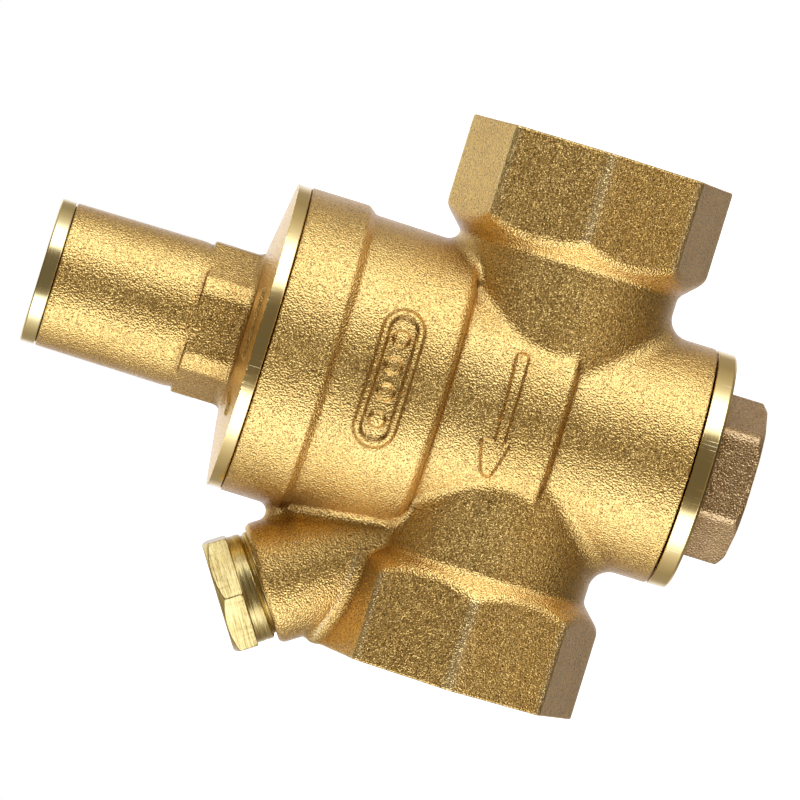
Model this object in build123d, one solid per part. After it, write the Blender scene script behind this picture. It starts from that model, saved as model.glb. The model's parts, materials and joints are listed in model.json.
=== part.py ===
from build123d import *
import math
import os

# Brass pressure reducing valve, 3/4 in, direct-acting balanced-piston type.
# Frame: +Z along the bonnet and spring axis, +X towards the inlet, flow runs towards -X.
# Shapes are built with the port axis at height 0, then lifted so that the flat end of the
# bottom plug's hexagon stands on Z = 0. All sizes are in millimetres.

os.makedirs("parts", exist_ok=True)

# ---------------------------------------------------------------- driving dimensions
FACE_TO_FACE = 70.0
PORT_HEIGHT = 29.6  # port axis above the foot of the bottom plug
OCTAGON_FLATS = 32.0  # across the flats of each port end
PORT_THREAD_MINOR_R = 24.117 / 2  # G 3/4 internal thread, crest radius
PORT_THREAD_MAJOR_R = 26.441 / 2
PORT_THREAD_DEPTH = 14.0
SLIP = 0.05  # radial clearance of running and screwed fits, which have plain walls here
SEAL_SLIP = 0.03  # radial clearance of a sliding seal

# Body outside: radii about the spring axis, heights from the port axis
RIM_R = 20.0
BARREL_R = 19.1
BARREL_FOOT_R = 18.9
NECK_R = 17.0
LOWER_R = 15.5
BODY_TOP = 34.0
RIM_FOOT = 26.3
BARREL_FOOT = 11.0
NECK_FOOT = -4.0
BODY_BOTTOM = -21.0

# Port barrels and their octagon ends: distances from the spring axis
PORT_BARREL_R = 14.4
PORT_CONE_X = 20.3  # where the 45 degree cone to the octagon starts
PORT_POCKET_R = 10.0
PORT_POCKET_X = 14.0
PORT_MOUTH_R = PORT_THREAD_MAJOR_R + 0.14  # where the lead-in chamfer meets the end face

# Body inside
CYLINDER_R = 15.5  # the large piston runs in it
CYLINDER_FLOOR = 10.8
CHAMBER_R = 12.0
PASSAGE_W = 16.0
WEB_HALF = 2.0  # half the thickness of the wall between the chambers
SEAT_R = 7.0
SEAT_LIP = 0.8
PASSAGE_H = 8.0

# Bonnet
BONNET_THREAD_R = 17.5
BONNET_NECK_R = 16.4
BONNET_SEAL_SECTION = 1.6
BONNET_SEAL_POCKET = 1.9  # depth of the pocket that holds the bonnet's O-ring
SKIRT_FOOT = 28.0
SKIRT_BORE_R = 13.5
FLANGE_THICK = 1.85
FLANGE_EDGE_CHAMFER = 0.15
CONE_TOP = 37.2
CONE_TOP_R = 10.4
BONNET_HEX_FLATS = 18.4
BONNET_HEX_CORNER_R = 9.95
HEX_CORE_R = 8.9  # round core inside the hexagon, under its flats
BONNET_HEX_TOP = 43.5
BONNET_HEX_TURN = -4.0  # degrees about Z
TUBE_FOOT_R = 9.48
TUBE_TOP_R = 9.35
TUBE_TOP = 61.8
TUBE_BORE_R = 7.8

# Cap and its washer
CAP_WASHER_THICK = 0.22
CAP_WASHER_R = 8.9
CAP_R = 9.38
CAP_THICK = 1.8
CAP_SHANK = 3.0
CAP_SLOT_LENGTH = 11.0
CAP_SLOT_WIDTH = 2.0
CAP_SLOT_DEPTH = 0.9

# Spring and adjusting gear
SCREW_FOOT = 50.5
SCREW_LENGTH = 5.5
SCREW_SOCKET_FLATS = 6.0
SPRING_SEAT_R = 7.5
SPRING_SEAT_THICK = 2.5
SPRING_WIRE = 2.2
SPRING_OUTER_R = 7.2
SPRING_FOOT = 18.0
SPRING_TURNS = 8

# Moving set at rest: the valve stands fully open
LIFT = 3.0  # travel from open to shut
PISTON_FOOT = 11.4
PISTON_HEIGHT = 8.0
STEM_R = 2.5
STEM_SHOULDER_R = 4.0
STEM_COLLAR_R = 5.0
NUT_FLATS = 8.0
NUT_HEIGHT = 3.0
DISC_R = 9.5
SEAL_OUTER_R = 8.7
SEAL_THICK = 2.0
DISC_THICK = 4.5
PLUNGER_R = 6.0
PLUNGER_LENGTH = 8.5

# Bottom plug
PLUG_THREAD_R = 13.5
PLUG_NECK_R = 12.4
PLUG_SEAL_SECTION = 1.5
PLUG_SEAL_POCKET = 1.8
PLUG_SHANK_TOP = -13.0
PLUG_FLANGE_THICK = 2.75
PLUG_FLANGE_CHAMFER = 0.35
PLUG_BORE_FLOOR = -26.2
PLUG_HEX_FLATS = 19.0
PLUG_HEX_CORNER_R = 10.75
PLUG_HEX_TURN = 5.0

# Gauge port, leaning over the outlet
BOSS_TILT = 34.0  # degrees from vertical, towards the outlet
BOSS_R = 7.9
BOSS_FACE = (-30.0, 25.5)  # X and height of the middle of its face
BOSS_LENGTH = 18.0
BOSS_EDGE_ROUND = 1.0
TAPER = 1 / 32  # radius per length of a taper pipe thread
GAUGE_THREAD_R = 6.9  # of the tapped hole at the face
GAUGE_THREAD_DEPTH = 8.5
SENSING_HOLE_R = 1.5
SENSING_HOLE_LENGTH = 12.0
GAUGE_PLUG_STAND_OFF = 2.55  # hexagon above the boss face
GAUGE_PLUG_SHANK = 10.0
GAUGE_HEX_FLATS = 14.2
GAUGE_HEX_THICK = 3.17

# Cast marks: relief is the height they stand proud of the surface
MARK_RELIEF = 0.5
ARROW_CORNERS = (  # X, height above the port axis and rounding, starting at the blunt tip
    (-8.3, 2.8, 0.5),
    (-7.8, 4.1, 0.5),
    (-3.7, 5.3, 0.4),
    (-3.6, 3.6, 0.2),
    (7.9, 4.0, 0.6),
    (7.9, 2.4, 0.6),
    (-3.6, 2.4, 0.2),
    (-3.7, 1.6, 0.4),
)
TABLET_HEIGHT = 18.5
TABLET_LENGTH = 17.6
TABLET_WIDTH = 5.2
TABLET_LINE = 0.9
PIP_R = 0.85
PIP_COUNT = 4
PIP_SPACING = 3.5
CONE_PAD_INNER_R = 12.8
CONE_PAD_OUTER_R = 16.2
CONE_PAD_RELIEF = 0.33
CONE_PADS = ((-84.0, 34.0), (-127.0, 8.0))  # middle angle about Z and span, in degrees

# Wear ring and seal grooves in the large piston
PISTON_SEAL_SECTION = 2.4
PISTON_SEAL_HEIGHT = 3.4  # of the O-ring's centre above the piston's foot
WEAR_RING_HEIGHT = 6.2
WEAR_RING_WIDTH = 1.6
WEAR_RING_THICK = 1.2
PLUNGER_SEAL_SECTION = 1.5

# Derived heights
PISTON_TOP = PISTON_FOOT + PISTON_HEIGHT
SEAT_FOOT = -WEB_HALF - SEAT_LIP
SEAL_TOP = SEAT_FOOT - LIFT
DISC_FOOT = SEAL_TOP - SEAL_THICK - DISC_THICK
PLUNGER_FOOT = DISC_FOOT - PLUNGER_LENGTH
HALF_LENGTH = FACE_TO_FACE / 2
FLANGE_TOP = BODY_TOP + FLANGE_THICK
SPRING_TOP = SCREW_FOOT - SPRING_SEAT_THICK
CAP_FOOT = TUBE_TOP + CAP_WASHER_THICK
PLUG_FLANGE_FOOT = BODY_BOTTOM - PLUG_FLANGE_THICK
BOSS_LEAN = math.radians(BOSS_TILT)
BOSS_PLANE = Plane(
    origin=(BOSS_FACE[0], 0, BOSS_FACE[1]),
    x_dir=(0, 1, 0),
    z_dir=(-math.sin(BOSS_LEAN), 0, math.cos(BOSS_LEAN)),
)


# ---------------------------------------------------------------- helpers
def turned(*corners):
    """Solid of revolution about Z from (radius, height) or (radius, height, rounding) corners."""
    points = [(c[0], 0, c[1]) for c in corners]
    rounds = [c[2] if len(c) > 2 else 0 for c in corners]
    outline = FilletPolyline(*points, radius=rounds, close=True)
    return revolve(make_face(outline), Axis.Z)


def turned_along_x(*corners):
    """Solid of revolution about X from (distance, radius) or (distance, radius, rounding) corners."""
    points = [(c[0], 0, c[1]) for c in corners]
    rounds = [c[2] if len(c) > 2 else 0 for c in corners]
    outline = FilletPolyline(*points, radius=rounds, close=True)
    return revolve(make_face(outline), Axis.X)


def tube(outer, inner, foot, top):
    """Ring about Z with a rectangular section."""
    return turned((inner, foot), (outer, foot), (outer, top), (inner, top))


def rod(radius, foot, top):
    """Cylinder about Z."""
    return Pos(0, 0, foot) * Cylinder(radius, top - foot, align=(Align.CENTER, Align.CENTER, Align.MIN))


def hexagon(flats, foot, top, turn=0.0):
    """Hexagonal prism about Z, a flat facing -Y when turn is 0."""
    outline = RegularPolygon(flats / 2, 6, major_radius=False, rotation=turn)
    return Pos(0, 0, foot) * extrude(outline, top - foot)


def o_ring(inner, section, height):
    """O-ring about Z, by its inside radius, section diameter and centre height."""
    return Pos(0, 0, height) * Torus(inner + section / 2, section / 2)


def save(name, shape):
    """Lifts a shape to its place above the foot and writes it as one node."""
    lifted = Pos(0, 0, PORT_HEIGHT) * shape
    export_step(lifted, f"parts/{name}.step")


# ---------------------------------------------------------------- body
def port_end(side):
    """One port barrel with its octagon end. side is +1 for the inlet and -1 for the outlet."""
    octagon = extrude(Plane.YZ * RegularPolygon(OCTAGON_FLATS / 2, 8, major_radius=False), HALF_LENGTH)
    corner_r = OCTAGON_FLATS / 2 / math.cos(math.pi / 8) + 1
    envelope = turned_along_x(
        (0, 0),
        (0, PORT_BARREL_R),
        (PORT_CONE_X, PORT_BARREL_R, 1.0),
        (PORT_CONE_X + corner_r - PORT_BARREL_R, corner_r),
        (HALF_LENGTH, corner_r),
        (HALF_LENGTH, 0),
    )
    end = octagon & envelope
    return end if side > 0 else mirror(end, Plane.YZ)


def port_bore(side):
    """Tapped bore with its lead-in chamfer and the pocket behind it."""
    thread_end = HALF_LENGTH - PORT_THREAD_DEPTH
    lead_in = PORT_MOUTH_R - PORT_THREAD_MINOR_R
    bore = turned_along_x(
        (PORT_POCKET_X, 0),
        (PORT_POCKET_X, PORT_POCKET_R, 1.5),
        (thread_end, PORT_POCKET_R),
        (thread_end, PORT_THREAD_MINOR_R),
        (HALF_LENGTH - lead_in, PORT_THREAD_MINOR_R),
        (HALF_LENGTH, PORT_MOUTH_R),
        (HALF_LENGTH, 0),
    )
    return bore if side > 0 else mirror(bore, Plane.YZ)


def passage(side):
    """Slot between a port pocket and its chamber: below the seat for the inlet, above it for the outlet."""
    length = PORT_POCKET_X - CHAMBER_R / 2 + 2.5
    height = -WEB_HALF - 1 - PASSAGE_H / 2 if side > 0 else WEB_HALF + PASSAGE_H / 2
    return Pos(side * (CHAMBER_R / 2 + length / 2), 0, height) * Box(length, PASSAGE_W, PASSAGE_H)


def body_outside():
    """Cast outside: stepped barrel, two port ends and the leaning gauge boss."""
    barrel = turned(
        (0, BODY_BOTTOM),
        (LOWER_R, BODY_BOTTOM),
        (LOWER_R, NECK_FOOT, 0.5),
        (NECK_R, NECK_FOOT, 0.7),
        (NECK_R, BARREL_FOOT, 0.5),
        (BARREL_FOOT_R, BARREL_FOOT, 1.2),
        (BARREL_R, RIM_FOOT - 0.9, 0.6),
        (RIM_R, RIM_FOOT, 0.6),
        (RIM_R, BODY_TOP),
        (0, BODY_TOP),
    )
    boss = Cylinder(BOSS_R, BOSS_LENGTH, align=(Align.CENTER, Align.CENTER, Align.MAX))
    boss = fillet(boss.edges().filter_by(GeomType.CIRCLE).sort_by(Axis.Z)[-1], BOSS_EDGE_ROUND)
    return barrel + port_end(1) + port_end(-1) + BOSS_PLANE * boss


def chambers():
    """Piston cylinder, seat orifice, chambers and the two screwed openings."""
    upper = turned(
        (0, WEB_HALF),
        (CHAMBER_R, WEB_HALF, 1.0),
        (CHAMBER_R, CYLINDER_FLOOR),
        (CYLINDER_R, CYLINDER_FLOOR),
        (CYLINDER_R, SKIRT_FOOT - 1.0),
        (BONNET_THREAD_R + SLIP, SKIRT_FOOT - 1.0),
        (BONNET_THREAD_R + SLIP, BODY_TOP - BONNET_SEAL_POCKET),
        (BONNET_NECK_R + BONNET_SEAL_SECTION + 0.1, BODY_TOP - BONNET_SEAL_POCKET),
        (BONNET_NECK_R + BONNET_SEAL_SECTION + 0.1, BODY_TOP),
        (0, BODY_TOP),
    )
    lower = turned(
        (0, BODY_BOTTOM),
        (PLUG_NECK_R + PLUG_SEAL_SECTION + 0.1, BODY_BOTTOM),
        (PLUG_NECK_R + PLUG_SEAL_SECTION + 0.1, BODY_BOTTOM + PLUG_SEAL_POCKET),
        (PLUG_THREAD_R + SLIP, BODY_BOTTOM + PLUG_SEAL_POCKET),
        (PLUG_THREAD_R + SLIP, PLUG_SHANK_TOP + 1.0),
        (CHAMBER_R, PLUG_SHANK_TOP + 1.0),
        (CHAMBER_R, -WEB_HALF, 1.0),
        (0, -WEB_HALF),
    )
    seat = tube(SEAT_R + 1.2, SEAT_R, SEAT_FOOT, -WEB_HALF)
    orifice = rod(SEAT_R, -WEB_HALF, WEB_HALF)
    return upper + (lower - seat) + orifice


def gauge_bore():
    """Tapered hole in the boss and the small hole that senses the outlet pressure."""
    foot_r = GAUGE_THREAD_R - GAUGE_THREAD_DEPTH * TAPER
    bore = turned((0, -GAUGE_THREAD_DEPTH), (foot_r, -GAUGE_THREAD_DEPTH), (GAUGE_THREAD_R, 0), (0, 0))
    sensing = rod(SENSING_HOLE_R, -GAUGE_THREAD_DEPTH - SENSING_HOLE_LENGTH, -GAUGE_THREAD_DEPTH)
    return BOSS_PLANE * (bore + sensing)


def raised_on(radius, outline):
    """Raises an outline, drawn as X and height, on the front and back of a cylinder about Z."""
    both_sides = extrude(Plane.XZ * outline, radius + 2, both=True)
    extent = outline.bounding_box()
    shell = tube(radius + MARK_RELIEF, radius - 1, extent.min.Y - 1, extent.max.Y + 1)
    return both_sides & shell


def flow_arrow():
    """Blunt, slightly tapering arrow that points to the outlet."""
    points = [corner[:2] for corner in ARROW_CORNERS]
    rounds = [corner[2] for corner in ARROW_CORNERS]
    return make_face(FilletPolyline(*points, radius=rounds, close=True))


def blank_tablet():
    """Plain cast frame with a row of pips, standing where a size mark would be."""
    frame = RectangleRounded(TABLET_LENGTH, TABLET_WIDTH, TABLET_WIDTH / 2 - 0.01)
    inside = RectangleRounded(TABLET_LENGTH - 2 * TABLET_LINE, TABLET_WIDTH - 2 * TABLET_LINE, 1.7)
    frame = frame - inside
    first = -(PIP_COUNT - 1) * PIP_SPACING / 2
    for i in range(PIP_COUNT):
        frame += Pos(first + i * PIP_SPACING, 0) * Circle(PIP_R)
    return Pos(0, TABLET_HEIGHT) * frame


def body():
    """Casting with its marks, bored and tapped."""
    shape = body_outside()
    shape += raised_on(NECK_R, flow_arrow())
    barrel_r = BARREL_FOOT_R + (BARREL_R - BARREL_FOOT_R) / 2
    shape += raised_on(barrel_r, blank_tablet())
    for side in (1, -1):
        shape -= port_bore(side)
        shape -= passage(side)
    shape -= chambers()
    return shape - gauge_bore()


# ---------------------------------------------------------------- bonnet and cap
def cone_height(radius):
    """Height of the bonnet's conical top at a radius."""
    slope = (CONE_TOP - FLANGE_TOP) / (RIM_R - 0.05 - CONE_TOP_R)
    return CONE_TOP - (radius - CONE_TOP_R) * slope


def cone_pad(middle, span):
    """Low raised pad on the cone, following a ring for part of a turn."""
    outline = Polyline(
        (CONE_PAD_INNER_R, 0, cone_height(CONE_PAD_INNER_R) - 0.5),
        (CONE_PAD_OUTER_R, 0, cone_height(CONE_PAD_OUTER_R) - 0.5),
        (CONE_PAD_OUTER_R, 0, cone_height(CONE_PAD_OUTER_R) + CONE_PAD_RELIEF),
        (CONE_PAD_INNER_R, 0, cone_height(CONE_PAD_INNER_R) + CONE_PAD_RELIEF),
        close=True,
    )
    pad = revolve(make_face(outline), Axis.Z, revolution_arc=span)
    return Rot(0, 0, middle - span / 2) * pad


def bonnet():
    """Spring housing: screwed skirt, machined flange, cone, hexagon and tube."""
    outside = turned(
        (0, SKIRT_FOOT),
        (BONNET_THREAD_R, SKIRT_FOOT),
        (BONNET_THREAD_R, BODY_TOP - BONNET_SEAL_POCKET),
        (BONNET_NECK_R, BODY_TOP - BONNET_SEAL_POCKET),
        (BONNET_NECK_R, BODY_TOP),
        (RIM_R - 0.05 - FLANGE_EDGE_CHAMFER, BODY_TOP),
        (RIM_R - 0.05, BODY_TOP + FLANGE_EDGE_CHAMFER),
        (RIM_R - 0.05, FLANGE_TOP),
        (CONE_TOP_R, CONE_TOP),
        (HEX_CORE_R, CONE_TOP),
        (HEX_CORE_R, BONNET_HEX_TOP),
        (TUBE_FOOT_R, BONNET_HEX_TOP),
        (TUBE_TOP_R, TUBE_TOP),
        (0, TUBE_TOP),
    )
    wrench_hex = hexagon(BONNET_HEX_FLATS, CONE_TOP - 1, BONNET_HEX_TOP, BONNET_HEX_TURN)
    wrench_hex &= rod(BONNET_HEX_CORNER_R, CONE_TOP - 1, BONNET_HEX_TOP)
    inside = turned(
        (0, SKIRT_FOOT),
        (SKIRT_BORE_R, SKIRT_FOOT),
        (SKIRT_BORE_R, SKIRT_FOOT + 5),
        (TUBE_BORE_R, SKIRT_FOOT + 7),
        (TUBE_BORE_R, TUBE_TOP),
        (0, TUBE_TOP),
    )
    shape = outside + wrench_hex
    for middle, span in CONE_PADS:
        shape += cone_pad(middle, span)
        shape += cone_pad(middle + 180, span)
    return shape - inside


def cap():
    """Slotted screw cap over the adjusting screw."""
    cap_top = CAP_FOOT + CAP_THICK
    shape = turned(
        (0, CAP_FOOT - CAP_SHANK),
        (TUBE_BORE_R - SLIP, CAP_FOOT - CAP_SHANK),
        (TUBE_BORE_R - SLIP, CAP_FOOT),
        (CAP_R, CAP_FOOT),
        (CAP_R, cap_top, 0.35),
        (0, cap_top),
    )
    slot = Pos(0, 0, cap_top) * Box(CAP_SLOT_LENGTH, CAP_SLOT_WIDTH, 2 * CAP_SLOT_DEPTH)
    return shape - slot


def adjusting_screw():
    """Short screw in the tube with a hexagon socket, pressing on the spring seat."""
    top = SCREW_FOOT + SCREW_LENGTH
    edge = TUBE_BORE_R - SLIP
    shape = turned(
        (0, SCREW_FOOT),
        (edge - 0.6, SCREW_FOOT),
        (edge, SCREW_FOOT + 0.6),
        (edge, top - 0.6),
        (edge - 0.6, top),
        (0, top),
    )
    return shape - hexagon(SCREW_SOCKET_FLATS, top - 3.5, top)


def spring_seat():
    """Button between the adjusting screw and the spring."""
    spigot_r = SPRING_OUTER_R - SPRING_WIRE - 0.15
    return turned(
        (0, SPRING_TOP - 2.0),
        (spigot_r, SPRING_TOP - 2.0, 0.5),
        (spigot_r, SPRING_TOP),
        (SPRING_SEAT_R, SPRING_TOP),
        (SPRING_SEAT_R, SCREW_FOOT, 0.4),
        (0, SCREW_FOOT),
    )


def main_spring():
    """Round-wire compression spring with its ends ground flat."""
    length = SPRING_TOP - SPRING_FOOT
    pitch = (length - SPRING_WIRE) / (SPRING_TURNS - 1)
    coil_r = SPRING_OUTER_R - SPRING_WIRE / 2
    run = pitch * SPRING_TURNS
    path = Helix(pitch=pitch, height=run, radius=coil_r)
    start = Plane(origin=path @ 0, z_dir=path % 0)
    coil = sweep(start * Circle(SPRING_WIRE / 2), path=path, is_frenet=True)
    coil = Pos(0, 0, (SPRING_FOOT + SPRING_TOP - run) / 2) * coil
    ground = rod(SPRING_OUTER_R + 1, SPRING_FOOT, SPRING_TOP)
    return coil & ground


# ---------------------------------------------------------------- moving set
def piston():
    """Large piston: O-ring and wear-ring grooves outside, spring recess on top."""
    edge = CYLINDER_R - SLIP
    seal = PISTON_FOOT + PISTON_SEAL_HEIGHT
    wear = PISTON_FOOT + WEAR_RING_HEIGHT
    seal_floor = CYLINDER_R - SEAL_SLIP - PISTON_SEAL_SECTION
    wear_floor = CYLINDER_R - SEAL_SLIP - WEAR_RING_THICK
    seal_half = PISTON_SEAL_SECTION / 2 + 0.2
    wear_half = WEAR_RING_WIDTH / 2
    return turned(
        (STEM_R + SLIP, PISTON_FOOT),
        (edge - 0.8, PISTON_FOOT),
        (edge, PISTON_FOOT + 0.8),
        (edge, seal - seal_half),
        (seal_floor, seal - seal_half),
        (seal_floor, seal + seal_half),
        (edge, seal + seal_half),
        (edge, wear - wear_half),
        (wear_floor, wear - wear_half),
        (wear_floor, wear + wear_half),
        (edge, wear + wear_half),
        (edge, PISTON_TOP),
        (SPRING_OUTER_R + 0.3, PISTON_TOP),
        (SPRING_OUTER_R + 0.3, SPRING_FOOT),
        (STEM_R + SLIP, SPRING_FOOT),
    )


def stem():
    """Rod through the seat, with a shoulder under the piston and a collar over the disc seal."""
    top = SPRING_FOOT + 0.6 + NUT_HEIGHT + 1.0
    foot = PLUNGER_FOOT - 0.6 - NUT_HEIGHT - 0.8
    return turned(
        (0, foot),
        (STEM_R - 0.4, foot),
        (STEM_R, foot + 0.4),
        (STEM_R, SEAL_TOP),
        (STEM_COLLAR_R, SEAL_TOP),
        (STEM_COLLAR_R, SEAL_TOP + 1.4, 0.4),
        (STEM_R + 0.5, SEAL_TOP + 1.4),
        (STEM_R + 0.5, PISTON_FOOT - 2.0),
        (STEM_SHOULDER_R, PISTON_FOOT - 2.0),
        (STEM_SHOULDER_R, PISTON_FOOT),
        (STEM_R, PISTON_FOOT),
        (STEM_R, top - 0.4),
        (STEM_R - 0.4, top),
        (0, top),
    )


def washer_at(foot):
    """Plain washer on the stem."""
    return tube(4.6, STEM_R + SLIP, foot, foot + 0.6)


def nut_at(foot):
    """Plain hexagon nut with turned corners."""
    shape = hexagon(NUT_FLATS, foot, foot + NUT_HEIGHT)
    corner = NUT_FLATS / 2 / math.cos(math.pi / 6)
    turned_corners = turned(
        (0, foot),
        (corner - 0.4, foot),
        (corner, foot + 0.3),
        (corner, foot + NUT_HEIGHT - 0.3),
        (corner - 0.4, foot + NUT_HEIGHT),
        (0, foot + NUT_HEIGHT),
    )
    return (shape & turned_corners) - rod(STEM_R + SLIP, foot - 1, foot + NUT_HEIGHT + 1)


def valve_disc():
    """Disc holder with the seal's recess on top and the balancing plunger below."""
    seal_height = PLUNGER_FOOT + 2.2
    groove_floor = PLUNGER_R + SLIP - SEAL_SLIP - PLUNGER_SEAL_SECTION
    groove_half = PLUNGER_SEAL_SECTION / 2 + 0.1
    return turned(
        (STEM_R + SLIP, PLUNGER_FOOT),
        (PLUNGER_R - 0.4, PLUNGER_FOOT),
        (PLUNGER_R, PLUNGER_FOOT + 0.4),
        (PLUNGER_R, seal_height - groove_half),
        (groove_floor, seal_height - groove_half),
        (groove_floor, seal_height + groove_half),
        (PLUNGER_R, seal_height + groove_half),
        (PLUNGER_R, DISC_FOOT),
        (DISC_R, DISC_FOOT, 0.5),
        (DISC_R, SEAL_TOP - 0.3),
        (SEAL_OUTER_R + 0.05, SEAL_TOP - 0.3),
        (SEAL_OUTER_R + 0.05, SEAL_TOP - SEAL_THICK),
        (STEM_R + SLIP, SEAL_TOP - SEAL_THICK),
    )


# ---------------------------------------------------------------- plugs
def bottom_plug():
    """Screwed cover under the seat: threaded cup, machined flange and cast hexagon."""
    foot = -PORT_HEIGHT
    outside = turned(
        (0, PLUG_FLANGE_FOOT),
        (LOWER_R - PLUG_FLANGE_CHAMFER, PLUG_FLANGE_FOOT),
        (LOWER_R, PLUG_FLANGE_FOOT + PLUG_FLANGE_CHAMFER),
        (LOWER_R, BODY_BOTTOM - FLANGE_EDGE_CHAMFER),
        (LOWER_R - FLANGE_EDGE_CHAMFER, BODY_BOTTOM),
        (PLUG_NECK_R, BODY_BOTTOM),
        (PLUG_NECK_R, BODY_BOTTOM + PLUG_SEAL_POCKET),
        (PLUG_THREAD_R, BODY_BOTTOM + PLUG_SEAL_POCKET),
        (PLUG_THREAD_R, PLUG_SHANK_TOP - 0.6),
        (PLUG_THREAD_R - 0.6, PLUG_SHANK_TOP),
        (0, PLUG_SHANK_TOP),
    )
    corners = turned(
        (0, foot),
        (PLUG_HEX_CORNER_R - 1.2, foot),
        (PLUG_HEX_CORNER_R, foot + 0.9),
        (PLUG_HEX_CORNER_R, PLUG_FLANGE_FOOT + 0.1),
        (0, PLUG_FLANGE_FOOT + 0.1),
    )
    wrench_hex = hexagon(PLUG_HEX_FLATS, foot, PLUG_FLANGE_FOOT + 0.1, PLUG_HEX_TURN) & corners
    bore = turned(
        (0, PLUG_BORE_FLOOR),
        (PLUNGER_R + SLIP, PLUG_BORE_FLOOR),
        (PLUNGER_R + SLIP, PLUG_SHANK_TOP - 0.5),
        (PLUNGER_R + SLIP + 0.5, PLUG_SHANK_TOP),
        (0, PLUG_SHANK_TOP),
    )
    return outside + wrench_hex - bore


def gauge_plug():
    """Taper plug in the gauge port, screwed in until its hexagon stands off the boss."""
    hex_foot = GAUGE_PLUG_STAND_OFF
    hex_top = hex_foot + GAUGE_HEX_THICK
    shank_top_r = GAUGE_THREAD_R - 0.03 + hex_foot * TAPER
    shank_foot = hex_foot - GAUGE_PLUG_SHANK
    shank = turned(
        (0, shank_foot),
        (shank_top_r - GAUGE_PLUG_SHANK * TAPER - 0.5, shank_foot),
        (shank_top_r - (GAUGE_PLUG_SHANK - 0.5) * TAPER, shank_foot + 0.5),
        (shank_top_r, hex_foot),
        (0, hex_foot),
    )
    corner = GAUGE_HEX_FLATS / 2 / math.cos(math.pi / 6)
    chamfered = turned(
        (0, hex_foot),
        (corner - 0.3, hex_foot),
        (corner, hex_foot + 0.2),
        (corner, hex_top - 0.75),
        (corner - 1.3, hex_top),
        (0, hex_top),
    )
    head = hexagon(GAUGE_HEX_FLATS, hex_foot, hex_top) & chamfered
    return BOSS_PLANE * (shank + head)


# ---------------------------------------------------------------- nodes
save("valve_body", body())
save("bonnet", bonnet())
save("bonnet_o_ring", o_ring(BONNET_NECK_R + 0.05, BONNET_SEAL_SECTION, BODY_TOP - BONNET_SEAL_POCKET / 2))
save("cap", cap())
save("cap_washer", tube(CAP_WASHER_R, TUBE_BORE_R, TUBE_TOP, CAP_FOOT))
save("adjusting_screw", adjusting_screw())
save("spring_seat", spring_seat())
save("main_spring", main_spring())
save("piston", piston())
piston_seal_r = CYLINDER_R - SEAL_SLIP - PISTON_SEAL_SECTION
save("piston_o_ring", o_ring(piston_seal_r, PISTON_SEAL_SECTION, PISTON_FOOT + PISTON_SEAL_HEIGHT))
wear_foot = PISTON_FOOT + WEAR_RING_HEIGHT - WEAR_RING_WIDTH / 2
wear_outer = CYLINDER_R - SEAL_SLIP
wear_inner = wear_outer - WEAR_RING_THICK
save("piston_wear_ring", tube(wear_outer, wear_inner, wear_foot, wear_foot + WEAR_RING_WIDTH))
save("stem", stem())
save("piston_washer", washer_at(SPRING_FOOT))
save("piston_nut", nut_at(SPRING_FOOT + 0.6))
save("valve_disc", valve_disc())
save("disc_seal", tube(SEAL_OUTER_R, STEM_R + SLIP, SEAL_TOP - SEAL_THICK, SEAL_TOP))
plunger_seal_r = PLUNGER_R + SLIP - SEAL_SLIP - PLUNGER_SEAL_SECTION
save("plunger_o_ring", o_ring(plunger_seal_r, PLUNGER_SEAL_SECTION, PLUNGER_FOOT + 2.2))
save("disc_washer", washer_at(PLUNGER_FOOT - 0.6))
save("disc_nut", nut_at(PLUNGER_FOOT - 0.6 - NUT_HEIGHT))
save("bottom_plug", bottom_plug())
plug_seal_height = BODY_BOTTOM + PLUG_SEAL_POCKET / 2
save("bottom_plug_o_ring", o_ring(PLUG_NECK_R + 0.05, PLUG_SEAL_SECTION, plug_seal_height))
save("gauge_plug", gauge_plug())
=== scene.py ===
"""Brass pressure reducing valve: finished meshes, materials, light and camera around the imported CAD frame.

Shapes are distance functions in millimetres, with heights measured from the port axis. Each one is
polygonised, its points are drawn onto the exact surface, and it is then moved into the row frame.
"""

import json
import math

import bpy
import numpy as np
import openvdb
from mathutils import Matrix, Vector


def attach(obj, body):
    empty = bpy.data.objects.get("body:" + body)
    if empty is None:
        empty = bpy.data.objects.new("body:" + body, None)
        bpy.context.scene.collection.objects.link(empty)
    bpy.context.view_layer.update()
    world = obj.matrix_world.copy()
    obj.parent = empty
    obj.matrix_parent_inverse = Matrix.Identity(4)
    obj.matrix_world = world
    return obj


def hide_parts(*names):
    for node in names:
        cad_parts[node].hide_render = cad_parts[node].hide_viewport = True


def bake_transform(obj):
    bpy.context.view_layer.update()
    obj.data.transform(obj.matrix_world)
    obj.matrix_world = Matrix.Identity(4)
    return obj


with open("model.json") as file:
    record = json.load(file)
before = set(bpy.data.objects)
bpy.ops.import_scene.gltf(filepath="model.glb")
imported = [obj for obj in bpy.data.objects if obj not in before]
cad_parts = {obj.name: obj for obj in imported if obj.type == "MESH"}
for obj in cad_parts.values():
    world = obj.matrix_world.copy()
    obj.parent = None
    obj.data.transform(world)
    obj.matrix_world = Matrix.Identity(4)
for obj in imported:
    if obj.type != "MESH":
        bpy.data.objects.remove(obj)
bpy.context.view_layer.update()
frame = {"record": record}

MOUNTS = {m["name"]: m for m in frame["record"]["mounts"]}
PORT_Z = 1000 * MOUNTS["inlet_port"]["pos_m"][2]
TO_ROW = Matrix.Translation((0, 0, PORT_Z / 1000)) @ Matrix.Scale(0.001, 4)

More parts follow.
